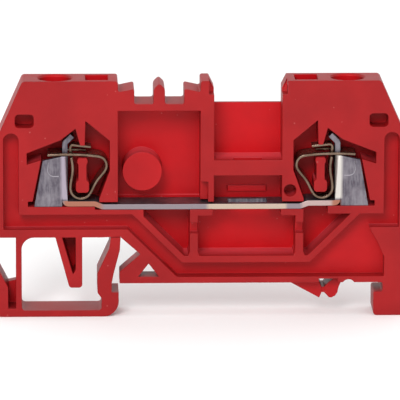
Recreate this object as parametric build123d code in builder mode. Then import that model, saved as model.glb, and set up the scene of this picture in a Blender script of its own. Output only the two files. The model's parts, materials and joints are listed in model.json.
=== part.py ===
from build123d import *
import os
from math import acos, atan2, degrees, hypot

# Feed-through terminal block for a 35 mm rail: one slice with its open side towards -Y.
# X runs along the block, Y through its thickness and Z up, away from the rail.
# The origin is on the face that sits on the rail, below the middle of the moulding.
# Lengths are in millimetres and angles in degrees.

os.makedirs("parts", exist_ok=True)

# Moulding
length = 53.0
thickness = 5.1
height = 26.6
back_wall = 0.8
chamber_wall = 0.6
rim = 0.9
wall = 1.05
channel_depth = 2.0
under_z = 6.1
low_rim_z = 2.7
bottom_corner = 0.5

# Rail
rail_width = 35.0
rail_slot = 1.25
foot_drop = 4.4
foot_width = 3.05
foot_reach = 1.2

# Current bar: a strip the length of the block that turns up into a lug at each end
bar_thickness = 0.7
bar_clearance = 0.1
bar_roof_gap = 0.3
bar_low_z = 9.75
bar_joggle = 0.4
joggle_in = 1.8
joggle_run = 1.0
bend_inside = 0.15

# Clamp springs: one steel strip each, with a loop at the bottom and a shoulder at the top
clamp_inset = 11.0
strip = 0.3
strip_clearance = 0.3
loop_radius = 1.35
loop_gap = 0.15
shoulder_radius = 1.2
shoulder_in = 2.1
shoulder_up = 3.0

# The clamp leg: it rises from the shoulder, then droops to its free end
leg_rise_angle = 8.0
leg_rise = 3.0
leg_droop_angle = 4.0
leg_droop = 3.6
leg_bend = 3.0
window_start = -0.7
window_gap = 0.2

# The back leg: upright from the loop, with a narrow tongue that bends over as a flange
leg_shoulder = 3.75
tongue_width = 2.0
tongue_gap = 0.25
flange_up = 5.5
flange_length = 2.65
flange_dip = 0.25
flange_bend = 0.35

# Lug of the bar, measured from the spring's loop
web_gap = 0.2
plate_top = 4.25
plate_fall = 0.55
plate_width_top = 2.5
plate_width_foot = 3.6
plate_gap = 0.2
plate_fold = 0.5
tip_bend_up = 5.8
tip_in = 0.95
tip_up = 0.95

# Clamp chamber, measured from the spring's loop
cavity_in = 3.7
cavity_foot_in = 2.35
cavity_foot_up = 2.4
cavity_step = 0.6
cavity_roof = 6.3
slot_reach = 1.85
slot_rise = 0.45
slot_drop = 0.1
peak_up = 2.6
peak_out = 0.7
peak_fall = 1.0
partition = 0.6
partition_gap = 0.05

# Post inside the spring's loop
post_in = 0.2
post_width = 1.05
post_low = -0.5
post_high = 4.05
post_head = 1.35
post_head_height = 0.95
post_foot = 1.7
post_foot_height = 1.6
post_corner = 0.45

# Towers and the middle of the moulding
tower_run = 3.5
tower_drop = 7.9
tower_chamfer = 1.3
tower_lean = 0.65
pillar_left = -0.15
pillar_right = 1.6
pillar_step = 1.0
pillar_step_height = 2.65
pillar_step_depth = 1.5
jumper_wall = 1.45
jumper_back_z = 22.9
jumper_slot = 5.0
jumper_slot_width = 2.2
guide_width = 0.67
guide_low_z = 24.8
cross_rib_low_z = 14.2
cross_rib_high_z = 16.2
rib_slot = 3.7
rib_slot_skin = 0.2
rib_slot_depth = 1.65
pad_length = 5.0
pad_height = 0.8
pad_up = 0.5
pad_thickness = 0.4

# Marker holder: a split peg between two rows of teeth, and a round boss below
marker_floor_z = 23.6
marker_peg = 1.45
peg_shoulder = 2.0
peg_tip = 2.7
tooth_width = 2.1
tooth_low_z = 25.15
tooth_high_z = 25.6
boss_in = 3.15
boss_z = 14.5
boss_radius = 2.55
boss_drop = 1.3

# Chambers under the bar
left_rib_out = 1.35
right_rib_out = 0.3
rib_width = 1.05
rib_notch_low_z = 6.6
rib_notch_high_z = 8.0
rib_notch_depth = 1.6
rib_foot_radius = 0.7
ledge = 0.85
ledge_reach = 1.9
left_floor_run = 0.7
right_floor_run = 0.55
seat_out = 0.75

# Shallow channel round the foot of the moulding
groove_width = 1.95
groove_top_z = 19.8
groove_round = 0.95
channel_low_z = 0.8
channel_wall = 1.45
channel_lap = 0.6
channel_round = 0.3
recess_out = 0.3
recess_steps = [(-1.8, 7.3), (-0.75, 5.4), (0.15, 3.4)]

# Entries from above, and the sockets and pegs that line up neighbouring slices
entry_radius = 2.1
entry_out = 3.3
entry_floor = 7.7
entry_chamfer = 0.25
guide_hole_radius = 1.4
guide_hole_out = 3.95
guide_hole_floor = 5.2
key_width = 2.95
key_depth = 3.4
key_in = 2.05
socket_in = 0.4
socket_z = 12.2
socket_radius = 0.8
socket_depth = 2.6
peg_clearance = 0.08
peg_length = 1.2
catch_inset = 3.75
catch_z = 21.4
catch_width = 2.4
catch_height = 1.75
catch_corner = 0.5

# Spur inside the rail's left flange
spur_start = 1.0
spur_rise = 1.5
spur_length = 7.0
spur_thickness = 3.2
spur_root_z = 3.85
spur_window_in = 2.4
spur_window_width = 2.7
spur_window_low_z = 0.85
spur_window_high_z = 2.6

# Left foot: a hooked latch on two flexures, and the stop between them
latch_bar = 0.85
latch_top_z = 1.3
latch_side_z = 2.5
latch_cheek = 0.6
latch_cheek_z = 1.45
latch_corner_out = 0.55
latch_corner_drop = 0.8
hook_z = -1.2
hook_reach = 0.9
hook_corner = 2.0
column_inset = 2.6
column_width = 0.75
column_foot_z = -0.3
column_flare = 1.6
tab_slot = 1.0
tab_slot_drop = 0.2
tab_slot_foot = 1.1
tab_slot_depth = 3.6
arm_head_in = 0.15
arm_head = 1.3
arm_foot = 2.1
arm_foot_in = 1.85
arm_neck_out = 0.15
arm_neck_drop = 1.4
arm_waist_in = 0.1
arm_waist_drop = 1.7
stop_in = 3.8
stop_width = 3.45
stop_lean = 1.8
stop_tip_z = -0.55
stop_corner = 0.45
stop_cheek = 0.85
stop_groove_low_z = 1.2
stop_groove_side_z = 1.8
stop_groove_tip = 0.35

# Springy nose inside the rail's right flange: a wedge, and a lug on a thin neck and bridge
nose_inset = 5.05
nose_length = 7.4
nose_drop = 2.4
nose_recess = 1.5
nose_point = 4.35
nose_waist = 4.65
nose_waist_low_z = -1.65
nose_waist_high_z = -0.95
nose_bridge = 0.3
nose_hole = 4.2
nose_hole_z = 0.5
nose_neck = 0.75
neck_out = 0.2
neck_start = 0.5
lug_out = 0.3
lug_top_z = -0.4
lug_tip = [(0.55, -1.0), (0.7, -1.7), (1.0, -2.15), (1.5, -2.4), (1.8, -2.35)]
relief_out = 0.65
relief_z = -0.45
relief_radius = 0.85

# ---- Places that several pieces share ----

end_x = length / 2
pocket_depth = thickness - back_wall
metal_y = -back_wall / 2
back = Plane.XZ.offset(-thickness / 2)
front = Plane.XZ.offset(thickness / 2)

slot_right = end_x - foot_width
slot_left = slot_right - rail_width
upper_rim_z = under_z + wall
floor_z = low_rim_z + rim

half_bar = bar_thickness / 2
bar_width = pocket_depth - 2 * bar_clearance
bar_high_z = bar_low_z + bar_joggle
bar_top_z = bar_high_z + bar_thickness
bar_bend = half_bar + bend_inside
roof_z = bar_low_z + bar_thickness + bar_roof_gap

half_strip = (pocket_depth - 2 * strip_clearance) / 2
loop_x = end_x - clamp_inset
loop_z = bar_top_z + loop_gap + loop_radius + strip / 2
web_out = loop_radius + strip / 2 + web_gap + half_bar
plate_in = web_out + half_bar
joggle_x = loop_x - joggle_in
bar_floor = bar_high_z - loop_z
bar_head = bar_top_z - loop_z

cavity_inner_x = loop_x - cavity_in
chamber_left = wall - cavity_inner_x
jumper_right = cavity_inner_x - jumper_wall
jumper_x = (pillar_right + jumper_right) / 2


def span(x0, z0, x1, z1, mode=Mode.ADD):
    """A rectangle given by two opposite corners."""
    with Locations(((x0 + x1) / 2, (z0 + z1) / 2)):
        Rectangle(abs(x1 - x0), abs(z1 - z0), mode=mode)


def outward(side):
    """Plane in the middle of the metal at one clamp's loop, with x pointing outwards."""
    return Plane(origin=(side * loop_x, metal_y, loop_z), x_dir=(side, 0, 0), z_dir=(0, -side, 0))


def save(part, name):
    part.label = name
    export_step(part, f"parts/{name}.step")


# ---- Housing: one moulding, cut from the solid slice ----

marker_peg_x = (chamber_left + pillar_left) / 2
spur_tip_x = slot_left + spur_start
spur_end_x = spur_tip_x + spur_length
under_turn_x = slot_left - arm_head_in + arm_head
outline = [
    (spur_end_x, 0),
    (slot_right, 0),
    (slot_right, -rail_slot),
    (slot_right - foot_reach, -rail_slot),
    (slot_right - foot_reach, -foot_drop),
    (end_x, -foot_drop),
    (end_x, height - tower_drop),
    (end_x - tower_run, height),
    (jumper_right + tower_lean, height),
    (jumper_right, height - tower_chamfer),
    (jumper_right, jumper_back_z),
    (pillar_right, jumper_back_z),
    (pillar_right, height - tower_chamfer),
    (pillar_right - tower_lean, height),
    (pillar_left, height),
    (pillar_left, tooth_low_z),
    (pillar_left - tooth_width, tooth_high_z),
    (pillar_left - tooth_width, marker_floor_z),
    (marker_peg_x + marker_peg / 2, marker_floor_z),
    (marker_peg_x + marker_peg / 2, marker_floor_z + peg_shoulder),
    (marker_peg_x, marker_floor_z + peg_tip),
    (marker_peg_x - marker_peg / 2, marker_floor_z + peg_shoulder),
    (marker_peg_x - marker_peg / 2, marker_floor_z),
    (chamber_left + tooth_width, marker_floor_z),
    (chamber_left + tooth_width, tooth_high_z),
    (chamber_left, tooth_low_z),
    (chamber_left, height),
    (tower_run - end_x, height),
    (-end_x, height - tower_drop),
    (-end_x, under_z),
    (under_turn_x, under_z),
]
spur_slant = (spur_end_x - under_turn_x) / under_z
spur = [
    (spur_tip_x, 0),
    (spur_tip_x, spur_rise),
    (under_turn_x + (under_z - spur_root_z) * spur_slant, spur_root_z),
    (spur_end_x, 0),
]
spur_window_x = spur_tip_x + spur_window_in
spur_window = [
    (spur_window_x, spur_window_low_z),
    (spur_window_x + spur_window_width, spur_window_low_z),
    (spur_window_x + spur_window_width / 2, spur_window_high_z),
]

left_rib_x = pillar_left - left_rib_out
right_rib_x = cavity_inner_x + right_rib_out
seat_x = loop_x + seat_out
channel_top_z = bar_high_z - wall
left_floor_x = left_rib_x - left_floor_run
left_slope_x = left_floor_x - (bar_low_z - rim - floor_z)
left_floor = [
    (left_rib_x, bar_low_z),
    (left_rib_x, floor_z),
    (left_floor_x, floor_z),
    (left_slope_x, bar_low_z - rim),
    (left_slope_x, bar_low_z),
]
right_floor_x = right_rib_x + rib_width + right_floor_run
right_floor = [
    (right_rib_x + rib_width, bar_high_z),
    (seat_x, bar_high_z),
    (seat_x, channel_top_z),
    (right_floor_x + channel_top_z - floor_z, channel_top_z),
    (right_floor_x, floor_z),
    (right_rib_x + rib_width, floor_z),
]

groove_out = end_x - wall
groove_in = groove_out - groove_width
channel_fall = channel_top_z - low_rim_z
channel_left_x = left_slope_x - channel_wall
recess_x = right_floor_x + recess_out
recess = [(slot_right + x, z) for x, z in recess_steps]
channel = [
    (-groove_in, channel_top_z),
    (channel_left_x, channel_top_z),
    (channel_left_x + channel_fall, low_rim_z),
    (recess_x, low_rim_z),
    (recess_x + channel_fall, channel_top_z),
    (groove_in, channel_top_z),
    (groove_in, groove_top_z),
    (groove_out, groove_top_z),
    (groove_out, recess[0][1]),
    *recess,
    (recess[-1][0], channel_low_z),
    (channel_left_x + channel_fall - channel_lap, channel_low_z),
    (channel_left_x - channel_lap, upper_rim_z),
    (-groove_out, upper_rim_z),
    (-groove_out, groove_top_z),
    (-groove_in, groove_top_z),
]

partition_tip = flange_up + strip / 2 + partition_gap
lug_foot = plate_in + plate_width_foot + plate_gap
lug_head = plate_in + plate_width_top + plate_gap
cavity = [
    (-cavity_in, cavity_roof),
    (-cavity_in, cavity_foot_up),
    (-cavity_foot_in, bar_head + bar_roof_gap),
    (-cavity_foot_in, bar_floor),
    (lug_foot + cavity_step, bar_floor),
    (lug_foot + cavity_step, bar_head),
    (lug_foot, bar_head),
    (lug_head, plate_top - plate_fall + slot_drop),
    (lug_head + slot_reach, plate_top - 2 * plate_fall + slot_drop / 2),
    (lug_head + slot_reach, plate_top + slot_rise),
    (plate_in + plate_gap, cavity_roof + slot_drop),
    (peak_out, cavity_roof + peak_up - peak_fall),
    (peak_out - partition, partition_tip),
    (peak_out - 2 * partition, partition_tip),
    (peak_out - 2 * partition - slot_drop, cavity_roof + peak_up),
]

stop_x = slot_left - stop_in
stop_start_x = stop_x - stop_width
stop = [
    (stop_start_x, under_z),
    (stop_x, under_z),
    (stop_x, stop_tip_z),
    (stop_start_x + stop_lean, stop_tip_z),
]
stop_groove = [
    (stop_start_x + stop_cheek, under_z),
    (stop_x - stop_cheek, under_z),
    (stop_x - stop_cheek, stop_groove_side_z),
    (stop_x - stop_cheek - stop_groove_tip, stop_groove_low_z),
]

nose_x = slot_right - nose_inset
nose_start_x = nose_x - nose_length
nose_hole_x = nose_start_x + nose_hole
nose_waist_x = nose_start_x + nose_waist
nose_neck_x = nose_x - nose_neck
nose_wedge = [
    (nose_start_x, 0),
    (nose_start_x + nose_point, -nose_drop),
    (nose_waist_x, nose_waist_low_z),
    (nose_waist_x, nose_waist_high_z),
    (nose_hole_x, 0),
]
nose_plane = Plane.XZ.offset(thickness / 2 - nose_recess)
nose_depth = thickness - nose_recess

with BuildPart() as housing:
    with BuildSketch(back) as slice_face:
        Polygon(outline, align=None)
        Polygon(stop, align=None)
        stop_end = slice_face.vertices().filter_by_position(Axis.Y, stop_tip_z, stop_tip_z)
        fillet(stop_end, stop_corner)
    extrude(amount=thickness)
    with BuildSketch(front):
        Polygon(spur, align=None)
    extrude(amount=-spur_thickness)
    fillet(housing.edges().filter_by(Axis.Y).group_by(Axis.Z)[0], bottom_corner)

    # chambers under the bar and below the jumper's rib, down to the back wall
    with BuildSketch(front):
        span(pillar_right, roof_z, jumper_right, cross_rib_low_z)
        span(left_rib_x + rib_width, floor_z, right_rib_x, bar_low_z)
        for x in (left_rib_x + rib_width, right_rib_x - ledge_reach):
            span(x, bar_low_z - ledge, x + ledge_reach, bar_low_z, mode=Mode.SUBTRACT)
        Polygon(left_floor, align=None)
        Polygon(right_floor, align=None)
        span(-joggle_x, bar_low_z, joggle_x, roof_z)
        for x in (left_rib_x, right_rib_x):
            span(x, rib_notch_low_z, x + rib_width, rib_notch_high_z, mode=Mode.SUBTRACT)
            with Locations((x + rib_width / 2, floor_z)):
                Circle(rib_foot_radius, mode=Mode.SUBTRACT)
    extrude(amount=-pocket_depth, mode=Mode.SUBTRACT)

    # marker chamber and jumper shaft, down to a thinner wall
    with BuildSketch(front):
        span(chamber_left, roof_z, pillar_left, marker_floor_z - rim)
        span(pillar_right, cross_rib_high_z, jumper_right, height)
    extrude(amount=chamber_wall - thickness, mode=Mode.SUBTRACT)

    # clamp chambers, each with a post inside the spring's loop
    for side in (-1, 1):
        with BuildSketch(outward(side)):
            Polygon(cavity, align=None)
            with Locations((-post_in, (post_low + post_high) / 2)):
                Rectangle(post_width, post_high - post_low, mode=Mode.SUBTRACT)
            with Locations((-post_in, post_low + post_foot_height / 2)):
                RectangleRounded(post_foot, post_foot_height, post_corner, mode=Mode.SUBTRACT)
            with Locations((-post_in, post_high - post_head_height / 2)):
                RectangleRounded(post_head, post_head_height, post_corner, mode=Mode.SUBTRACT)
        extrude(amount=pocket_depth / 2, both=True, mode=Mode.SUBTRACT)

    # channel round the foot, with round tops to its side grooves
    with BuildSketch(front) as channel_face:
        Polygon(channel, align=None)
        groove_tops = channel_face.vertices().group_by(Axis.Y)[-1]
        other_corners = channel_face.vertices() - groove_tops
        fillet(groove_tops, groove_round)
        fillet(other_corners, channel_round)
    extrude(amount=-channel_depth, mode=Mode.SUBTRACT)

    # shallow cuts: jumper guides in the tower tops, notches in the ribs and the pillar's step
    with BuildSketch(front):
        span(pillar_right - guide_width, guide_low_z, pillar_right, height)
        span(jumper_right, guide_low_z, jumper_right + guide_width, height)
    extrude(amount=-channel_depth, mode=Mode.SUBTRACT)
    with BuildSketch(front):
        for x in (left_rib_x, right_rib_x):
            span(x, rib_notch_low_z, x + rib_width, rib_notch_high_z)
    extrude(amount=-rib_notch_depth, mode=Mode.SUBTRACT)
    with BuildSketch(front):
        span(pillar_left, roof_z, pillar_left + pillar_step, roof_z + pillar_step_height)
    extrude(amount=-pillar_step_depth, mode=Mode.SUBTRACT)
    with BuildSketch(Plane.XZ.offset(thickness / 2 - rib_slot_skin)):
        span(jumper_x - rib_slot / 2, cross_rib_low_z, jumper_x + rib_slot / 2, cross_rib_high_z)
    extrude(amount=-rib_slot_depth, mode=Mode.SUBTRACT)

    # groove in the stop, window in the spur, and the holes round the springy nose
    with BuildSketch(front):
        Polygon(stop_groove, align=None)
    extrude(amount=-pocket_depth, mode=Mode.SUBTRACT)
    with BuildSketch(front):
        Polygon(spur_window, align=None)
        span(nose_hole_x, 0, nose_neck_x, nose_hole_z)
        with Locations((nose_x + relief_out, relief_z)):
            Circle(relief_radius)
    extrude(amount=-thickness, mode=Mode.SUBTRACT)
    with BuildSketch(nose_plane):
        Polygon(nose_wedge, align=None)
    extrude(amount=-nose_depth)

    # conductor entries, each with a smaller hole below for the bare wire, and key slots
    entries = [(side * (loop_x + entry_out), 0) for side in (-1, 1)]
    guide_holes = [(side * (loop_x + guide_hole_out), 0) for side in (-1, 1)]
    key_slots = [(side * (loop_x - key_in), 0) for side in (-1, 1)]
    with BuildSketch(Plane.XY.offset(height)):
        with Locations(*entries):
            Circle(entry_radius)
    extrude(amount=loop_z + entry_floor - height, mode=Mode.SUBTRACT)
    mouths = housing.edges().group_by(Axis.Z)[-1].filter_by(GeomType.CIRCLE)
    chamfer(mouths, entry_chamfer)
    with BuildSketch(Plane.XY.offset(height)):
        with Locations(*guide_holes):
            Circle(guide_hole_radius)
    extrude(amount=loop_z + guide_hole_floor - height, mode=Mode.SUBTRACT)
    with BuildSketch(Plane.XY.offset(height)):
        with Locations(*key_slots):
            Rectangle(key_width, key_depth)
    extrude(amount=loop_z + cavity_roof - height, mode=Mode.SUBTRACT)

    # round boss in the marker chamber and the pad below the jumper's rib
    with BuildSketch(back):
        with Locations((chamber_left + boss_in, boss_z)):
            Circle(boss_radius)
    extrude(amount=thickness - boss_drop)
    with BuildSketch(back):
        with Locations((jumper_x, roof_z + pad_up + pad_height / 2)):
            Rectangle(pad_length, pad_height)
    extrude(amount=back_wall + pad_thickness)

    # sockets in front, with the pegs of the same slice behind them
    catches = [(side * (end_x - catch_inset), catch_z) for side in (-1, 1)]
    socket = (cavity_inner_x - socket_in, socket_z)
    with BuildSketch(front):
        with Locations(*catches):
            RectangleRounded(catch_width, catch_height, catch_corner)
        with Locations(socket):
            Circle(socket_radius)
    extrude(amount=-socket_depth, mode=Mode.SUBTRACT)
    with BuildSketch(back):
        with Locations(*catches):
            RectangleRounded(
                catch_width - 2 * peg_clearance, catch_height - 2 * peg_clearance, catch_corner
            )
        with Locations(socket):
            Circle(socket_radius - peg_clearance)
    extrude(amount=-peg_length)
save(housing.part, "housing")

# ---- Current bar: one stamping ----

web_x = loop_x + web_out
tongue_z = loop_z + leg_shoulder
bar_plane = Plane.XZ.offset(-metal_y)
with BuildPart() as current_bar:
    with BuildSketch(bar_plane):
        with BuildLine():
            FilletPolyline(
                (-web_x, tongue_z),
                (-web_x, bar_high_z + half_bar),
                (-joggle_x, bar_high_z + half_bar),
                (joggle_run - joggle_x, bar_low_z + half_bar),
                (joggle_x - joggle_run, bar_low_z + half_bar),
                (joggle_x, bar_high_z + half_bar),
                (web_x, bar_high_z + half_bar),
                (web_x, tongue_z),
                radius=bar_bend,
            )
        trace(line_width=bar_thickness)
    extrude(amount=bar_width / 2, both=True)

    # a narrow tongue above each web, and a front plate folded outwards from it
    for side in (-1, 1):
        with BuildSketch(bar_plane):
            with BuildLine():
                FilletPolyline(
                    (side * web_x, tongue_z),
                    (side * web_x, loop_z + tip_bend_up),
                    (side * (web_x - tip_in), loop_z + tip_bend_up + tip_up),
                    radius=bar_bend,
                )
            trace(line_width=bar_thickness)
        extrude(amount=tongue_width / 2, both=True)
        with BuildSketch(outward(side).offset(side * bar_width / 2)):
            Polygon(
                [
                    (plate_in - bar_thickness, bar_head + plate_gap),
                    (plate_in, bar_head + plate_gap),
                    (plate_in, bar_floor),
                    (plate_in + plate_width_foot, bar_floor),
                    (plate_in + plate_width_top, plate_top - plate_fall),
                    (plate_in, plate_top),
                    (plate_in - bar_thickness, plate_top),
                ],
                align=None,
            )
        extrude(amount=-side * bar_thickness)
    with BuildSketch(Plane.XY.offset(bar_low_z)):
        with Locations((jumper_x, metal_y)):
            Rectangle(jumper_slot, jumper_slot_width)
    extrude(amount=bar_thickness, mode=Mode.SUBTRACT)
save(current_bar.part, "current_bar")

# ---- Clamp springs ----

shoulder_at = (-shoulder_in, shoulder_up)
between = hypot(shoulder_in, shoulder_up)
heading = degrees(atan2(shoulder_up, -shoulder_in))
tangent = heading + degrees(acos((loop_radius - shoulder_radius) / between))


def around(centre, radius, angle):
    """Point on a circle, in the plane of the clamp."""
    return Vector(*centre) + Vector(radius, 0).rotate(Axis.Z, angle)


arm_foot_at = around((0, 0), loop_radius, tangent)
arm_head_at = around(shoulder_at, shoulder_radius, tangent)
leg_at = around(shoulder_at, shoulder_radius, 90 + leg_rise_angle)
leg_top = leg_at + Vector(leg_rise, 0).rotate(Axis.Z, leg_rise_angle)
leg_end = leg_top + Vector(leg_droop, 0).rotate(Axis.Z, -leg_droop_angle)
window_end = plate_in + window_gap

for side, hand in ((-1, "left"), (1, "right")):
    clamp = outward(side)

    with BuildPart() as back_leg:
        with BuildSketch(clamp):
            with BuildLine():
                Line((loop_radius, 0), (loop_radius, leg_shoulder))
            trace(line_width=strip)
        extrude(amount=half_strip, both=True)
        with BuildSketch(clamp):
            with BuildLine():
                FilletPolyline(
                    (loop_radius, leg_shoulder),
                    (loop_radius, flange_up),
                    (loop_radius - flange_length, flange_up - flange_dip),
                    radius=flange_bend,
                )
            trace(line_width=strip)
        extrude(amount=tongue_width / 2, both=True)
    save(back_leg.part, f"{hand}_spring_back_leg")

    with BuildPart() as loop:
        with BuildSketch(clamp):
            with BuildLine():
                CenterArc((0, 0), loop_radius, 0, tangent - 360)
            trace(line_width=strip)
        extrude(amount=half_strip, both=True)
    save(loop.part, f"{hand}_spring_loop")

    with BuildPart() as arm:
        with BuildSketch(clamp):
            with BuildLine():
                Line(arm_foot_at, arm_head_at)
            trace(line_width=strip)
        extrude(amount=half_strip, both=True)
    save(arm.part, f"{hand}_spring_arm")

    with BuildPart() as shoulder:
        with BuildSketch(clamp):
            with BuildLine():
                CenterArc(shoulder_at, shoulder_radius, tangent, 90 + leg_rise_angle - tangent)
            trace(line_width=strip)
        extrude(amount=half_strip, both=True)
    save(shoulder.part, f"{hand}_spring_shoulder")

    with BuildPart() as clamp_leg:
        with BuildSketch(clamp):
            with BuildLine():
                FilletPolyline(leg_at, leg_top, leg_end, radius=leg_bend)
            trace(line_width=strip)
        extrude(amount=half_strip, both=True)
        with BuildSketch(Plane.XY.offset(loop_z + shoulder_up)):
            with Locations((side * (loop_x + (window_start + window_end) / 2), metal_y)):
                Rectangle(window_end - window_start, tongue_width + 2 * tongue_gap)
        extrude(amount=leg_rise, mode=Mode.SUBTRACT)
    save(clamp_leg.part, f"{hand}_spring_clamp_leg")

# ---- Left foot: hooked latch, its column and its sprung arm ----

column_left = column_inset - end_x
column_right = column_left + column_width
latch_inner_x = slot_left - arm_foot_in
latch_hook_x = slot_left + hook_reach
latch_outline = [
    (-end_x, -foot_drop),
    (latch_hook_x, -foot_drop),
    (latch_hook_x, hook_z),
    (slot_left, hook_z),
    (slot_left, 0),
    (latch_inner_x + arm_foot, latch_top_z),
    (latch_inner_x, latch_top_z),
    (latch_inner_x, hook_z),
    (latch_inner_x + latch_corner_out, hook_z - latch_corner_drop),
    (latch_inner_x + latch_corner_out, latch_bar - foot_drop),
    (column_right, latch_bar - foot_drop),
    (column_right, column_foot_z),
    (column_left, column_foot_z),
    (column_left - tab_slot, column_foot_z - tab_slot_drop),
    (latch_cheek - end_x, latch_cheek_z),
    (-end_x, latch_side_z),
]
with BuildPart() as rail_latch:
    with BuildSketch(back) as latch_face:
        Polygon(latch_outline, align=None)
        hook_tip = latch_face.vertices().sort_by_distance((latch_hook_x, -foot_drop))[0]
        fillet(hook_tip, hook_corner)
    extrude(amount=thickness)
    with BuildSketch(front):
        span(column_left - tab_slot, tab_slot_foot - foot_drop, column_left, column_foot_z)
    extrude(amount=-tab_slot_depth, mode=Mode.SUBTRACT)
save(rail_latch.part, "rail_latch")

with BuildPart() as foot_column:
    with BuildSketch(back):
        span(column_left, column_foot_z, column_right, under_z)
        span(column_right, under_z - column_flare, column_right + column_flare, under_z)
        with Locations((column_right + column_flare, under_z - column_flare)):
            Circle(column_flare, mode=Mode.SUBTRACT)
    extrude(amount=thickness)
save(foot_column.part, "foot_column")

arm_left = slot_left - arm_head_in
arm_outline = [
    (arm_left, under_z),
    (arm_left + arm_head, under_z),
    (arm_left + arm_head - arm_waist_in, under_z - arm_waist_drop),
    (latch_inner_x + arm_foot, latch_top_z),
    (latch_inner_x, latch_top_z),
    (arm_left - arm_neck_out, under_z - arm_neck_drop),
]
with BuildPart() as foot_arm:
    with BuildSketch(back):
        Polygon(arm_outline, align=None)
    extrude(amount=thickness)
save(foot_arm.part, "foot_arm")

# ---- Springy nose: a lug on a thin neck and a thinner bridge ----

lug_x = nose_waist_x + nose_bridge
neck_x = lug_x + neck_start
nose_shapes = {
    "nose_lug": [
        (lug_x, nose_waist_low_z),
        (lug_x, nose_waist_high_z),
        (neck_x, lug_top_z),
        (nose_x - lug_out, lug_top_z),
        *[(nose_x - x, z) for x, z in lug_tip],
    ],
    "nose_neck": [
        (neck_x, lug_top_z),
        (nose_neck_x, nose_hole_z),
        (nose_neck_x, 0),
        (nose_x - neck_out, 0),
        (nose_x - lug_out, lug_top_z),
    ],
    "nose_bridge": [
        (nose_waist_x, nose_waist_low_z),
        (nose_waist_x, nose_waist_high_z),
        (lug_x, nose_waist_high_z),
        (lug_x, nose_waist_low_z),
    ],
}
for name, shape in nose_shapes.items():
    with BuildPart() as nose_piece:
        with BuildSketch(nose_plane):
            Polygon(shape, align=None)
        extrude(amount=-nose_depth)
    save(nose_piece.part, name)
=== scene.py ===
import json
from math import acos, atan2, cos, pi, radians, sin

import bmesh
import bpy
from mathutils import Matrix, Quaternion, Vector


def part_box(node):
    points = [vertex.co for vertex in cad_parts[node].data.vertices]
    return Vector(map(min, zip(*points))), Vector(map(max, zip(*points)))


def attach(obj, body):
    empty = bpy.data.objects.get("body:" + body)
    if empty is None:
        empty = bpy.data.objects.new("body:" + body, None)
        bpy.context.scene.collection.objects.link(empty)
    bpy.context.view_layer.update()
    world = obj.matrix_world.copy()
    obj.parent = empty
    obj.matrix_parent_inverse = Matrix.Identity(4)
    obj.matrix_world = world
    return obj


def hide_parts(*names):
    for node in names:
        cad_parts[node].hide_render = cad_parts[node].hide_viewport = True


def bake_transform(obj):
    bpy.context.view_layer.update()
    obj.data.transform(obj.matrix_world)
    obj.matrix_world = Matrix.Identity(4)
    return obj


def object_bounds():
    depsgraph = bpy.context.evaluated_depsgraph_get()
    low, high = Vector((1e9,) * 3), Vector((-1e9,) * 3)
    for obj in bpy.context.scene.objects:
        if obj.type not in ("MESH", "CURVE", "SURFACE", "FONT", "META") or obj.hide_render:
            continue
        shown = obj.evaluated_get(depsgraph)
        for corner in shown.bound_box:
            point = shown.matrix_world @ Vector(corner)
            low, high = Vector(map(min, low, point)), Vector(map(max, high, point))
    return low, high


# Looks of a rail terminal block: its red moulding, its current bar and its two clamp springs.
# Places come from the CAD frame and lengths are in metres.

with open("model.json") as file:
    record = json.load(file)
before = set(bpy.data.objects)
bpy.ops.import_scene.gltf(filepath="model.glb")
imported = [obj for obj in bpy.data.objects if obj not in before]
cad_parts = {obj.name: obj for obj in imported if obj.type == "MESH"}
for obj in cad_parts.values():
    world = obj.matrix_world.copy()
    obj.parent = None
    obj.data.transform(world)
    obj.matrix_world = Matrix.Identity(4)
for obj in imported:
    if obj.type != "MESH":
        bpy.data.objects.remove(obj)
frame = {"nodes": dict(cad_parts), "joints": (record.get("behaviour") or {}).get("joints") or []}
cad_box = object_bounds()
nodes = frame["nodes"]
joints = {joint["name"]: joint for joint in frame["joints"]}
mm = 0.001
weld = 0.001 * mm

# ---- Studio ----

view_turn = radians(-2.0)
view_tilt = radians(12.9)
view_roll = radians(0.2)
view_distance = 650 * mm
view_centre = Vector((-0.2, -2.55, 11.0)) * mm
lens_length = 455.0
sensor_width = 36.0
floor_reach = 3.0
world_strength = 0.95
key_place, key_size, key_power = (-0.16, -0.55, 0.38), 0.25, 2.6
fill_place, fill_size, fill_power = (0.45, -0.5, 0.2), 0.5, 0.3


def studio_camera():
    data = bpy.data.cameras.new("studio_camera")
    data.lens = lens_length
    data.sensor_width = sensor_width
    camera = bpy.data.objects.new("studio_camera", data)
    bpy.context.scene.collection.objects.link(camera)
    back = Vector((sin(view_turn) * cos(view_tilt), -cos(view_turn) * cos(view_tilt), sin(view_tilt)))
    turn = back.to_track_quat("Z", "Y") @ Quaternion((0, 0, 1), view_roll)
    camera.location = view_centre + back * view_distance
    camera.rotation_euler = turn.to_euler()
    bpy.context.scene.camera = camera


def softbox(name, place, size, power):
    """A square area light that faces the middle of the block."""
    data = bpy.data.lights.new(name, "AREA")
    data.shape = "SQUARE"
    data.size = size
    data.energy = power
    light = bpy.data.objects.new(name, data)
    light.location = place
    light.rotation_euler = (Vector(place) - view_centre).to_track_quat("Z", "Y").to_euler()
    bpy.context.scene.collection.objects.link(light)


def studio_world(strength):
    world = bpy.data.worlds.new("studio_world")
    world.use_nodes = True
    background = world.node_tree.nodes["Background"]
    background.inputs["Color"].default_value = (1, 1, 1, 1)
    background.inputs["Strength"].default_value = strength
    bpy.context.scene.world = world


def studio_floor(material):
    bm = bmesh.new()
    bmesh.ops.create_grid(bm, x_segments=1, y_segments=1, size=floor_reach)
    bmesh.ops.translate(bm, verts=bm.verts, vec=(0, 0, cad_box[0].z))
    floor = bpy.data.objects.new("floor", mesh_from(bm, "floor"))
    floor.data.materials.append(material)
    bpy.context.scene.collection.objects.link(floor)


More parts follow.
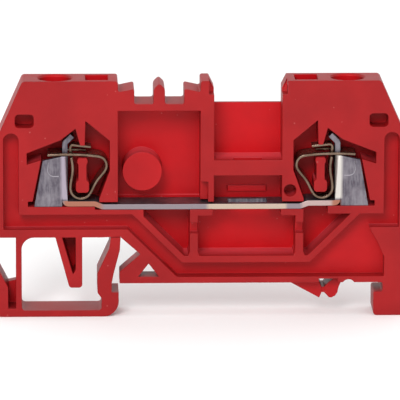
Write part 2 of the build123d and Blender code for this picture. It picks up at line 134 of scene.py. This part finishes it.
# ---- Materials ----


def shade_tree(name):
    """A new material, its tree and its Principled shader."""
    material = bpy.data.materials.new(name)
    material.use_nodes = True
    tree = material.node_tree
    return material, tree, tree.nodes["Principled BSDF"]


def add(tree, kind, **settings):
    """A node with its settings, and its inputs by name where a value is given for one."""
    node = tree.nodes.new(kind)
    for key, value in settings.items():
        if hasattr(node, key):
            setattr(node, key, value)
        else:
            node.inputs[key.replace("_", " ").title()].default_value = value
    return node


def mixed(tree, mask, one, two):
    """Colour between two colours or sockets, by a mask."""
    node = tree.nodes.new("ShaderNodeMix")
    node.data_type = "RGBA"
    tree.links.new(mask, node.inputs["Factor"])
    for name, value in (("A", one), ("B", two)):
        socket = next(s for s in node.inputs if s.name == name and s.type == "RGBA")
        if isinstance(value, tuple):
            socket.default_value = (*value, 1)
        else:
            tree.links.new(value, socket)
    return next(s for s in node.outputs if s.type == "RGBA")


def ranged(tree, value, low, high, start=0.0, end=1.0):
    """A value taken from one range to another."""
    node = add(tree, "ShaderNodeMapRange")
    for name, number in (("From Min", start), ("From Max", end), ("To Min", low), ("To Max", high)):
        node.inputs[name].default_value = number
    tree.links.new(value, node.inputs["Value"])
    return node.outputs["Result"]


def effect(name, inputs, outputs):
    """An empty node group with named sockets, and its input and output nodes."""
    group = bpy.data.node_groups.new(name, "ShaderNodeTree")
    for label, kind, value in inputs:
        socket = group.interface.new_socket(label, in_out="INPUT", socket_type=kind)
        if value is not None:
            socket.default_value = value
    for label, kind in outputs:
        group.interface.new_socket(label, in_out="OUTPUT", socket_type=kind)
    return group, group.nodes.new("NodeGroupInput"), group.nodes.new("NodeGroupOutput")


plain_share = 0.85


def surface_marks():
    """Broad cloudy variation, fine grain and rare specks, all from one set of coordinates."""
    group, given, out = effect(
        "surface_marks",
        [
            ("Vector", "NodeSocketVector", None),
            ("Cloud Scale", "NodeSocketFloat", 120.0),
            ("Grain Scale", "NodeSocketFloat", 3000.0),
            ("Speck Scale", "NodeSocketFloat", 900.0),
            ("Speck Size", "NodeSocketFloat", 0.12),
        ],
        [("Cloud", "NodeSocketFloat"), ("Grain", "NodeSocketFloat"), ("Specks", "NodeSocketFloat")],
    )
    for label, scale, detail in (("Cloud", "Cloud Scale", 4.0), ("Grain", "Grain Scale", 2.0)):
        noise = add(group, "ShaderNodeTexNoise", detail=detail, roughness=0.55)
        group.links.new(given.outputs["Vector"], noise.inputs["Vector"])
        group.links.new(given.outputs[scale], noise.inputs["Scale"])
        group.links.new(noise.outputs["Fac"], out.inputs[label])
    cells = add(group, "ShaderNodeTexVoronoi", randomness=1.0)
    group.links.new(given.outputs["Vector"], cells.inputs["Vector"])
    group.links.new(given.outputs["Speck Scale"], cells.inputs["Scale"])
    near = add(group, "ShaderNodeMath", operation="LESS_THAN")
    group.links.new(cells.outputs["Distance"], near.inputs[0])
    group.links.new(given.outputs["Speck Size"], near.inputs[1])
    colour = add(group, "ShaderNodeSeparateColor")
    group.links.new(cells.outputs["Color"], colour.inputs["Color"])
    rare = add(group, "ShaderNodeMath", operation="GREATER_THAN")
    rare.inputs[1].default_value = plain_share
    group.links.new(colour.outputs["Red"], rare.inputs[0])
    both = add(group, "ShaderNodeMath", operation="MULTIPLY")
    group.links.new(near.outputs["Value"], both.inputs[0])
    group.links.new(rare.outputs["Value"], both.inputs[1])
    group.links.new(both.outputs["Value"], out.inputs["Specks"])
    return group


def drawn_lines():
    """Long fine scratches that run one way, as rolling or drawing leaves on metal strip."""
    group, given, out = effect(
        "drawn_lines",
        [
            ("Vector", "NodeSocketVector", None),
            ("Stretch", "NodeSocketVector", (1.0, 1.0, 1.0)),
            ("Scale", "NodeSocketFloat", 1500.0),
        ],
        [("Lines", "NodeSocketFloat")],
    )
    pulled = add(group, "ShaderNodeVectorMath", operation="MULTIPLY")
    group.links.new(given.outputs["Vector"], pulled.inputs[0])
    group.links.new(given.outputs["Stretch"], pulled.inputs[1])
    noise = add(group, "ShaderNodeTexNoise", detail=6.0, roughness=0.65)
    group.links.new(pulled.outputs["Vector"], noise.inputs["Vector"])
    group.links.new(given.outputs["Scale"], noise.inputs["Scale"])
    group.links.new(noise.outputs["Fac"], out.inputs["Lines"])
    return group


def placed(tree, group, **values):
    """A group in a material, reading Object coordinates."""
    node = tree.nodes.new("ShaderNodeGroup")
    node.node_tree = group
    where = add(tree, "ShaderNodeTexCoord")
    tree.links.new(where.outputs["Object"], node.inputs["Vector"])
    for key, value in values.items():
        node.inputs[key.replace("_", " ").title()].default_value = value
    return node


def along(tree, axis, coordinates="Object"):
    """One of the Object coordinates, or one part of the normal."""
    where = add(tree, "ShaderNodeTexCoord")
    split = add(tree, "ShaderNodeSeparateXYZ")
    tree.links.new(where.outputs[coordinates], split.inputs["Vector"])
    return split.outputs[axis]


def multiplied(tree, one, two):
    node = add(tree, "ShaderNodeMath", operation="MULTIPLY")
    tree.links.new(one, node.inputs[0])
    tree.links.new(two, node.inputs[1])
    return node.outputs["Value"]


def bumped(tree, shader, height, strength, distance):
    bump = add(tree, "ShaderNodeBump")
    bump.inputs["Strength"].default_value = strength
    bump.inputs["Distance"].default_value = distance
    tree.links.new(height, bump.inputs["Height"])
    tree.links.new(bump.outputs["Normal"], shader.inputs["Normal"])


# How far behind the open side the painted glow inside the pockets starts and is full, and the heights of the
# ledges that get painted light
pocket_starts, pocket_full = 0.2 * mm, 3.0 * mm
ledges_low, ledges_high = 2.0 * mm, 20.0 * mm


def red_polyamide(marks):
    """Red moulding, with a brighter, deeper red painted inside its pockets as painted glow for light through
    the thin plastic, and a lighter red painted on the ledges there as painted light.
    """
    material, tree, shader = shade_tree("red_polyamide")
    surface = placed(tree, marks, cloud_scale=140.0, grain_scale=5200.0, speck_scale=1000.0, speck_size=0.09)
    cloud = ranged(tree, surface.outputs["Cloud"], 0.0, 1.0, 0.35, 0.65)
    rim = mixed(tree, cloud, (0.25, 0.0060, 0.0075), (0.31, 0.0080, 0.0095))
    # painted glow: a brighter, deeper red inside the pockets that stands in for light shining through the
    # thin walls
    painted_glow = mixed(tree, cloud, (0.44, 0.0015, 0.0050), (0.52, 0.0025, 0.0065))
    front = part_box("housing")[0].y
    inside = ranged(tree, along(tree, "Y"), 0.0, 1.0, front + pocket_starts, front + pocket_full)
    facing = ranged(tree, along(tree, "Y", "Normal"), 1.0, 0.0, -0.9, -0.5)
    body = mixed(tree, multiplied(tree, inside, facing), rim, painted_glow)
    # painted light: upward faces inside the pockets, between the two heights, get a lighter red where light
    # falls on them
    upward = ranged(tree, along(tree, "Z", "Normal"), 0.0, 1.0, 0.3, 0.8)
    above_foot = ranged(tree, along(tree, "Z"), 0.0, 1.0, ledges_low, ledges_low + mm)
    under_teeth = ranged(tree, along(tree, "Z"), 1.0, 0.0, ledges_high - mm, ledges_high)
    painted_ledge_light = multiplied(tree, multiplied(tree, inside, upward), multiplied(tree, above_foot, under_teeth))
    body = mixed(tree, painted_ledge_light, body, (0.64, 0.055, 0.07))
    specks = ranged(tree, surface.outputs["Specks"], 0.0, 0.3)
    tree.links.new(mixed(tree, specks, body, (0.65, 0.20, 0.19)), shader.inputs["Base Color"])
    roughness = ranged(tree, surface.outputs["Cloud"], 0.36, 0.5, 0.3, 0.7)
    tree.links.new(roughness, shader.inputs["Roughness"])
    shader.inputs["Specular IOR Level"].default_value = 0.18
    shader.inputs["Subsurface Weight"].default_value = 0.08
    shader.inputs["Subsurface Radius"].default_value = (0.9 * mm, 0.12 * mm, 0.08 * mm)
    bumped(tree, shader, surface.outputs["Grain"], 0.12, 0.01 * mm)
    return material


# Where the front plates start along X, the web's top above the bar's lowest edge, and the folds' depth, which
# also bounds the painted highlight on the folds
plate_starts, web_top, fold_depth = 17.95 * mm, 1.2 * mm, 0.7 * mm

# Colours along the cut edge of the bar, by place along X in millimetres
bare_copper = (0.36, 0.15, 0.10)
worn_tin = (0.26, 0.22, 0.24)
beige = (0.50, 0.40, 0.32)
rosy_tin = (0.46, 0.34, 0.32)
cut_edge_colours = [
    (-17.95, worn_tin),
    (-17.5, bare_copper),
    (-13.2, bare_copper),
    (-12.5, worn_tin),
    (0.5, worn_tin),
    (1.0, beige),
    (10.8, beige),
    (11.1, worn_tin),
    (12.7, worn_tin),
    (13.1, rosy_tin),
    (16.6, rosy_tin),
    (17.0, bare_copper),
]


def tinned_copper(marks, lines):
    """Dull tin, with the copper showing along the strip's cut front edge, a painted highlight on the folds of
    the front plates and a lighter grey painted on the beads as painted highlight.
    """
    material, tree, shader = shade_tree("tinned_copper")
    surface = placed(tree, marks, cloud_scale=420.0, grain_scale=4200.0, speck_scale=1500.0, speck_size=0.16)
    rolled = placed(tree, lines, stretch=(1.0, 1.0, 0.18), scale=2600.0)
    cloud = ranged(tree, surface.outputs["Cloud"], 0.0, 1.0, 0.4, 0.62)
    tin = mixed(tree, cloud, (0.085, 0.072, 0.094), (0.19, 0.17, 0.195))
    streaks = ranged(tree, rolled.outputs["Lines"], 0.0, 0.55, 0.45, 0.7)
    tin = mixed(tree, streaks, tin, (0.33, 0.31, 0.34))
    shader.inputs["Metallic"].default_value = 0.85
    low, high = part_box("current_bar")
    ramp = add(tree, "ShaderNodeValToRGB")
    tree.links.new(ranged(tree, along(tree, "X"), 0.0, 1.0, low.x, high.x), ramp.inputs["Fac"])
    ends = [ramp.color_ramp.elements[0], ramp.color_ramp.elements[1]]
    for number, (place, colour) in enumerate(cut_edge_colours):
        share = (place * mm - low.x) / (high.x - low.x)
        stop = ends[number] if number < 2 else ramp.color_ramp.elements.new(share)
        stop.position = share
        stop.color = (*colour, 1)
    front = ranged(tree, along(tree, "Y"), 1.0, 0.0, low.y + 0.01 * mm, low.y + 0.06 * mm)
    below = ranged(tree, along(tree, "Z"), 1.0, 0.0, low.z + web_top - 0.08 * mm, low.z + web_top)
    far = add(tree, "ShaderNodeMath", operation="ABSOLUTE")
    tree.links.new(along(tree, "X"), far.inputs[0])
    between = ranged(tree, far.outputs["Value"], 1.0, 0.0, plate_starts - 0.1 * mm, plate_starts + 0.1 * mm)
    cut = multiplied(tree, multiplied(tree, front, below), between)
    # painted highlight: a lighter band on each rounded fold, lilac grey on the left plate and cream on the
    # right, where the fold catches the light
    near_fold = ranged(tree, far.outputs["Value"], 1.0, 0.0, plate_starts - 0.1 * mm, plate_starts + 0.3 * mm)
    above = ranged(tree, along(tree, "Z"), 0.0, 1.0, low.z + web_top, low.z + web_top + 0.3 * mm)
    outside = ranged(tree, along(tree, "Y"), 1.0, 0.0, low.y + fold_depth, low.y + fold_depth + 0.2 * mm)
    fold = multiplied(tree, multiplied(tree, near_fold, above), outside)
    # painted highlight: the bead is painted a lighter grey than the tin around it, standing in for the light
    # its edge catches
    raised = ranged(tree, along(tree, "Y"), 1.0, 0.0, low.y - 0.02 * mm, low.y - 0.01 * mm)
    tin = mixed(tree, cut, tin, ramp.outputs["Color"])
    right = ranged(tree, along(tree, "X"), 0.0, 1.0, -mm, mm)
    tin = mixed(tree, fold, tin, mixed(tree, right, (0.36, 0.31, 0.37), (0.62, 0.58, 0.54)))
    tree.links.new(mixed(tree, raised, tin, (0.30, 0.28, 0.31)), shader.inputs["Base Color"])
    roughness = ranged(tree, rolled.outputs["Lines"], 0.34, 0.55, 0.3, 0.7)
    tree.links.new(roughness, shader.inputs["Roughness"])
    bumped(tree, shader, rolled.outputs["Lines"], 0.35, 0.012 * mm)
    return material


def spring_steel(marks, lines):
    material, tree, shader = shade_tree("spring_steel")
    surface = placed(tree, marks, cloud_scale=500.0, grain_scale=5000.0, speck_scale=1500.0, speck_size=0.1)
    rolled = placed(tree, lines, stretch=(0.3, 1.0, 0.3), scale=3400.0)
    cloud = ranged(tree, surface.outputs["Cloud"], 0.0, 1.0, 0.35, 0.65)
    tint = mixed(tree, cloud, (0.13, 0.085, 0.058), (0.24, 0.168, 0.125))
    tree.links.new(tint, shader.inputs["Base Color"])
    shader.inputs["Metallic"].default_value = 0.9
    roughness = ranged(tree, rolled.outputs["Lines"], 0.18, 0.36, 0.3, 0.7)
    tree.links.new(roughness, shader.inputs["Roughness"])
    bumped(tree, shader, rolled.outputs["Lines"], 0.16, 0.01 * mm)
    return material


def pale_floor(marks):
    material, tree, shader = shade_tree("pale_floor")
    surface = placed(tree, marks, cloud_scale=6.0, grain_scale=300.0)
    tint = mixed(tree, surface.outputs["Cloud"], (0.94, 0.94, 0.94), (0.96, 0.96, 0.96))
    tree.links.new(tint, shader.inputs["Base Color"])
    shader.inputs["Roughness"].default_value = 0.8
    return material


# ---- Mesh helpers ----

sharp_angle = radians(28)
smooth_angle = radians(35)
flat_angle = radians(0.5)
room_for_corner = 2.5


def mesh_from(bm, name):
    mesh = bpy.data.meshes.new(name)
    bm.to_mesh(mesh)
    bm.free()
    return mesh


def shown(mesh, name, material):
    """An object at the origin, with smooth faces that break only at sharp edges."""
    piece = bpy.data.objects.new(name, mesh)
    bpy.context.scene.collection.objects.link(piece)
    mesh.materials.clear()
    mesh.materials.append(material)
    mesh.polygons.foreach_set("use_smooth", [True] * len(mesh.polygons))
    mesh.set_sharp_from_angle(angle=smooth_angle)
    return piece


def flattened(piece):
    """Weighted normals, so that wide faces look flat and their rounded edges smooth."""
    weighted = piece.modifiers.new("weighted", "WEIGHTED_NORMAL")
    weighted.keep_sharp = True
    weighted.weight = 100


def settled(piece):
    """The piece with its modifiers made part of its mesh."""
    evaluated = piece.evaluated_get(bpy.context.evaluated_depsgraph_get())
    mesh = bpy.data.meshes.new_from_object(evaluated)
    piece.modifiers.clear()
    piece.data = mesh
    return piece


def welded(sources, seams=()):
    """One closed mesh from copies of CAD nodes, open inside at the heights where they join."""
    bm = bmesh.new()
    for source in sources:
        bm.from_mesh(nodes[source].data)
    inner = [f for f in bm.faces if any(all(abs(v.co.z - z) < weld for v in f.verts) for z in seams)]
    bmesh.ops.delete(bm, geom=inner, context="FACES")
    bmesh.ops.remove_doubles(bm, verts=bm.verts, dist=weld)
    for y in {round(v.co.y, 7) for e in bm.edges if e.is_boundary for v in e.verts}:
        everything = bm.verts[:] + bm.edges[:] + bm.faces[:]
        bmesh.ops.bisect_plane(bm, geom=everything, dist=weld, plane_co=(0, y, 0), plane_no=(0, 1, 0))
    bmesh.ops.remove_doubles(bm, verts=bm.verts, dist=weld)
    bmesh.ops.dissolve_limit(bm, angle_limit=flat_angle, verts=bm.verts, edges=bm.edges)
    return bm


def rounded(bm, edges, radius, segments):
    bmesh.ops.bevel(
        bm,
        geom=edges,
        offset=radius,
        offset_type="OFFSET",
        segments=segments,
        profile=0.5,
        affect="EDGES",
        material=-1,
        clamp_overlap=False,
    )


def is_sharp(edge):
    return len(edge.link_faces) == 2 and edge.calc_face_angle() > sharp_angle


def softened(bm, radius, stays=lambda edge: False):
    """Rounds the sharp edges by a small radius, apart from those that stay."""
    rounded(bm, [e for e in bm.edges if is_sharp(e) and not stays(e)], radius, 2)


def turned(bm, radius, allowed):
    """Rounds the corners that run through the whole thickness, where their sides leave room for it."""

    def chosen(edge):
        a, b = (v.co for v in edge.verts)
        upright = abs(a.x - b.x) < weld and abs(a.z - b.z) < weld and abs(a.y - b.y) > through
        if not upright or not is_sharp(edge):
            return False
        sides = [other for v in edge.verts for other in v.link_edges if other is not edge]
        return allowed(a) and all(other.calc_length() > room_for_corner * radius for other in sides)

    rounded(bm, [e for e in bm.edges if chosen(e)], radius, 4)


def split_edges(bm, edges, places):
    """Puts points on edges where they cross upright planes at these places along X."""
    for x in places:
        ends = {v for e in edges for v in e.verts}
        cut = bmesh.ops.bisect_plane(
            bm, geom=list(ends) + edges, dist=weld, plane_co=(x, 0, 0), plane_no=(1, 0, 0)
        )
        edges = [g for g in cut["geom"] if isinstance(g, bmesh.types.BMEdge)]
    return edges


# ---- Moulding ----

mould_radius = 0.08 * mm
corner_radius = 0.3 * mm
foot_corner_radius = 0.45 * mm
through = 5.0 * mm
nose_zone_top = 2.0 * mm
nose_zone_before, nose_zone_after = 3.0 * mm, 1.0 * mm


def housing(plastic):
    """The fixed moulding. Its lower edges stay plain where the foot's two flexures grow out of it."""
    bm = welded(["housing"])
    column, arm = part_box("foot_column"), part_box("foot_arm")
    roots = [(column[0].x, column[1].x), (arm[0].x, arm[1].x)]
    level = column[1].z
    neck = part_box("nose_neck")

    def clear_of_roots(place):
        beside_nose = neck[0].x - nose_zone_before < place.x < neck[1].x + nose_zone_after
        return abs(place.z - level) > weld and not (beside_nose and place.z < nose_zone_top)

    turned(bm, corner_radius, clear_of_roots)

    def low(edge):
        return all(abs(v.co.z - level) < weld for v in edge.verts)

    split_edges(bm, [e for e in bm.edges if low(e)], [x for root in roots for x in root])

    def at_root(edge):
        middle = (edge.verts[0].co.x + edge.verts[1].co.x) / 2
        return low(edge) and any(start < middle < end for start, end in roots)

    softened(bm, mould_radius, at_root)
    front, back = (corner.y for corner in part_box("housing"))
    for vertex in bm.verts:  # keeps rounded corners between the two faces
        vertex.co.y = min(max(vertex.co.y, front), back)
    piece = shown(mesh_from(bm, "moulding"), "moulding", plastic)
    flattened(piece)
    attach(piece, "root")
    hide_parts("housing")


def foot(plastic):
    """The hooked latch with its column and arm, which bend between the housing and the latch."""
    column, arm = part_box("foot_column"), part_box("foot_arm")
    bm = welded(["rail_latch", "foot_column", "foot_arm"], [column[0].z, arm[0].z])

    def top(edge):
        return all(abs(v.co.z - column[1].z) < weld for v in edge.verts)

    turned(bm, foot_corner_radius, lambda place: place.z < column[1].z - weld)
    softened(bm, mould_radius, top)
    piece = shown(mesh_from(bm, "sprung_foot"), "sprung_foot", plastic)
    flattened(piece)
    settled(piece)
    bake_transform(piece)
    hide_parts("rail_latch", "foot_column", "foot_arm")


def nose(plastic):
    """The sprung nose: its lug and neck in one, and the thin bridge to the wedge beside it."""
    lug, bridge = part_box("nose_lug"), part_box("nose_bridge")
    bm = welded(["nose_lug", "nose_neck"], [lug[1].z])
    softened(bm, mould_radius)
    piece = shown(mesh_from(bm, "sprung_nose"), "sprung_nose", plastic)
    flattened(piece)
    settled(piece)
    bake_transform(piece)
    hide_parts("nose_lug", "nose_neck")
    web = shown(mesh_from(welded(["nose_bridge"]), "nose_web"), "nose_web", plastic)
    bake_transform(web)
    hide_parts("nose_bridge")


# ---- Metal ----

burr_radius = 0.06 * mm
fold_radius = 0.55 * mm
bead_radius = 0.09 * mm
bead_sink = 0.03 * mm
least_plate_height = 1.5 * mm
fold_reach = 0.3 * mm
# Places along the bead, outwards and up, in millimetres
bead_line = [(19.74, 16.0), (19.74, 14.85), (19.63, 14.5), (19.4, 14.27), (19.05, 14.15), (18.35, 14.15)]


def add_bead(bm, points):
    """A thin raised line along points in the plane of a front plate, closed at both ends."""
    rings = []
    for number, point in enumerate(points):
        before, after = points[max(number - 1, 0)], points[min(number + 1, len(points) - 1)]
        turn = (after - before).to_track_quat("Z", "Y")
        made = bmesh.ops.create_circle(bm, segments=10, radius=bead_radius, cap_ends=False)["verts"]
        for vertex in made:
            vertex.co = point + turn @ vertex.co
        rings.append(made)
    for ring, following in zip(rings, rings[1:]):
        for i, vertex in enumerate(ring):
            bm.faces.new((vertex, ring[i - 1], following[i - 1], following[i]))
    bm.faces.new(rings[0])
    bm.faces.new(rings[-1])
    faces = {face for ring in rings for vertex in ring for face in vertex.link_faces}
    bmesh.ops.recalc_face_normals(bm, faces=list(faces))


def current_bar(metal):
    """The stamped bar, with a round fold where each front plate turns out of its web."""
    bm = welded(["current_bar"])
    low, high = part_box("current_bar")
    back_legs = [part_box(f"{hand}_spring_back_leg") for hand in ("left", "right")]

    def folded(edge):
        a, b = (v.co for v in edge.verts)
        upright = abs(a.x - b.x) < weld and abs(a.z - b.z) > least_plate_height
        front = abs(a.y - low.y) < weld and abs(b.y - low.y) < weld
        inner = any(min(abs(a.x - leg[0].x), abs(a.x - leg[1].x)) < fold_reach for leg in back_legs)
        return upright and front and inner

    folds = [e for e in bm.edges if len(e.link_faces) == 2 and folded(e)]
    rounded(bm, folds, fold_radius, 6)
    softened(bm, burr_radius)
    for side in (-1, 1):
        add_bead(bm, [Vector((side * x * mm, low.y + bead_sink, z * mm)) for x, z in bead_line])
    piece = shown(mesh_from(bm, "current_bar_stamping"), "current_bar_stamping", metal)
    flattened(piece)
    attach(piece, "root")
    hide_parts("current_bar")


# ---- Clamp springs, in millimetres from the centre of the loop, x outwards ----

strip = 0.3
loop_radius = 1.35
shoulder_radius = 1.2
flange_up = 5.5
flange_length = 2.65
flange_dip = 0.25
flange_bend = 0.35
tongue_from = 3.75
leg_bow = 0.3
arm_bow = 0.15
leg_rise = Vector((3.0, 0)), radians(8)
leg_droop = Vector((3.6, 0)), radians(-4)
window = (-0.7, 2.6)
slack = 0.01
bend_start = radians(85)
shoulder_end = radians(98)
burr_angle = radians(50)
strip_rows = (-1.85, -1.0, 1.0, 1.85)
window_rows = (-1.85, -1.25, 1.25, 1.85)


def arc(centre, radius, start, end, steps):
    """Points along an arc, from one angle to another."""
    angles = [start + (end - start) * i / steps for i in range(steps + 1)]
    return [Vector((centre[0] + radius * cos(a), centre[1] + radius * sin(a))) for a in angles]


def bowed(start, end, bow, steps):
    """Points from start to end, bent sideways in the middle and straight at both ends."""
    side = Vector((end.y - start.y, start.x - end.x)).normalized()
    shares = [i / steps for i in range(steps + 1)]
    return [start.lerp(end, t) + side * bow * sin(pi * t) ** 2 for t in shares]


def strip_mesh(line, rows, gaps, name):
    """A strip of steel along a line: rows of points across its width, with gaps cut in its middle."""
    bm = bmesh.new()
    first = [bm.verts.new((line[0].x, y, line[0].y)) for y in rows]
    edges = [bm.edges.new(pair) for pair in zip(first, first[1:])]
    middle, sides = [], []
    for number, (here, there) in enumerate(zip(line, line[1:])):
        made = bmesh.ops.extrude_edge_only(bm, edges=edges)["geom"]
        verts = [g for g in made if isinstance(g, bmesh.types.BMVert)]
        edges = [g for g in made if isinstance(g, bmesh.types.BMEdge) and set(g.verts) <= set(verts)]
        bmesh.ops.translate(bm, verts=verts, vec=(there.x - here.x, 0, there.y - here.y))
        for face in (g for g in made if isinstance(g, bmesh.types.BMFace)):
            across = abs(face.calc_center_median().y) < rows[-2]
            if across and "middle" in gaps.get(number, ""):
                middle.append(face)
            if not across and "sides" in gaps.get(number, ""):
                sides.append(face)
    bmesh.ops.delete(bm, geom=middle + sides, context="FACES")
    bmesh.ops.recalc_face_normals(bm, faces=bm.faces)
    return mesh_from(bm, name)


def spring_piece(line, rows, gaps, hand, name, metal):
    """A strip with its thickness and rounded edges, in its place in the block."""
    joint = joints[f"{hand}_arm_flex"]
    centre = Vector(joint["pos_m"])
    side = joint["axis"][1]
    mesh = strip_mesh(line, rows, gaps, f"{hand}_{name}")
    for vertex in mesh.vertices:
        x, y, z = vertex.co * mm
        vertex.co = centre + Vector((side * x, y, z))
    piece = shown(mesh, f"{hand}_{name}", metal)
    body = piece.modifiers.new("body", "SOLIDIFY")
    body.thickness = strip * mm
    body.offset = 0
    body.use_even_offset = True
    burr = piece.modifiers.new("burr", "BEVEL")
    burr.width = burr_radius
    burr.segments = 2
    burr.limit_method = "ANGLE"
    burr.angle_limit = burr_angle
    flattened(piece)
    return settled(piece)


def clamp_spring(hand, metal):
    """One spring in two pieces that meet on the arm: back leg and loop, then arm, shoulder and clamp leg."""
    centre = Vector(joints[f"{hand}_arm_flex"]["pos_m"])
    shoulder_at = (Vector(joints[f"{hand}_leg_flex"]["pos_m"]) - centre) / mm
    shoulder = Vector((-abs(shoulder_at.x), shoulder_at.z))
    tangent = atan2(shoulder.y, shoulder.x) + acos((loop_radius - shoulder_radius) / shoulder.length)
    tip = Vector((loop_radius - flange_length, flange_up - flange_dip))
    bend = arc((loop_radius - flange_bend, flange_up - flange_bend), flange_bend, bend_start, 0, 5)
    upper = Vector((loop_radius, tongue_from))
    narrow = [tip, *bend]
    leg = bowed(bend[-1], Vector((loop_radius, 0)), leg_bow, 14)
    loop = arc((0, 0), loop_radius, 0, tangent - 2 * pi, 26)
    line = [*narrow, *leg[1:], *loop[1:]]
    tongue = {n: "sides" for n, (a, b) in enumerate(zip(line, line[1:])) if min(a.y, b.y) > upper.y}
    root_piece = spring_piece(line, strip_rows, tongue, hand, "back_leg_and_loop", metal)

    head = arc(shoulder, shoulder_radius, tangent, shoulder_end, 16)
    arm = bowed(loop[-1], head[0], arm_bow, 12)
    start = head[-1]
    crest = start + Vector((leg_rise[0].x * cos(leg_rise[1]), leg_rise[0].x * sin(leg_rise[1])))
    end = crest + Vector((leg_droop[0].x * cos(leg_droop[1]), leg_droop[0].x * sin(leg_droop[1])))
    places = [start.x, *(start.x + (window[0] - start.x) * i / 3 for i in (1, 2, 3))]
    places += [window[0] + (window[1] - window[0]) * i / 6 for i in range(1, 7)]
    places += [window[1] + (end.x - window[1]) * i / 3 for i in (1, 2, 3)]
    leg = [curve_at(start, crest, end, x) for x in places]
    line = [*arm, *head[1:], *leg[1:]]
    opening = {
        n: "middle"
        for n, (a, b) in enumerate(zip(line, line[1:]))
        if a.y > shoulder.y and window[0] - slack < a.x < b.x < window[1] + slack
    }
    arm_piece = spring_piece(line, window_rows, opening, hand, "arm_and_clamp_leg", metal)

    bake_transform(root_piece)
    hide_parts(f"{hand}_spring_back_leg", f"{hand}_spring_loop")
    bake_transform(arm_piece)
    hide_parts(*(f"{hand}_spring_{name}" for name in ("arm", "shoulder", "clamp_leg")))


def curve_at(start, crest, end, x):
    """Point at x on the parabola that leaves start and reaches end in line with the crest."""
    a, b, c = start.x - 2 * crest.x + end.x, 2 * (crest.x - start.x), start.x - x
    t = -c / b if abs(a) < 1e-6 else (-b + (b * b - 4 * a * c) ** 0.5) / (2 * a)
    return start * (1 - t) ** 2 + crest * 2 * t * (1 - t) + end * t * t


marks, lines = surface_marks(), drawn_lines()
studio_camera()
studio_world(world_strength)
softbox("key", key_place, key_size, key_power)
softbox("fill", fill_place, fill_size, fill_power)
studio_floor(pale_floor(marks))
bpy.context.scene.view_settings.view_transform = "Standard"

plastic = red_polyamide(marks)
housing(plastic)
foot(plastic)
nose(plastic)
current_bar(tinned_copper(marks, lines))
steel = spring_steel(marks, lines)
for hand in ("left", "right"):
    clamp_spring(hand, steel)
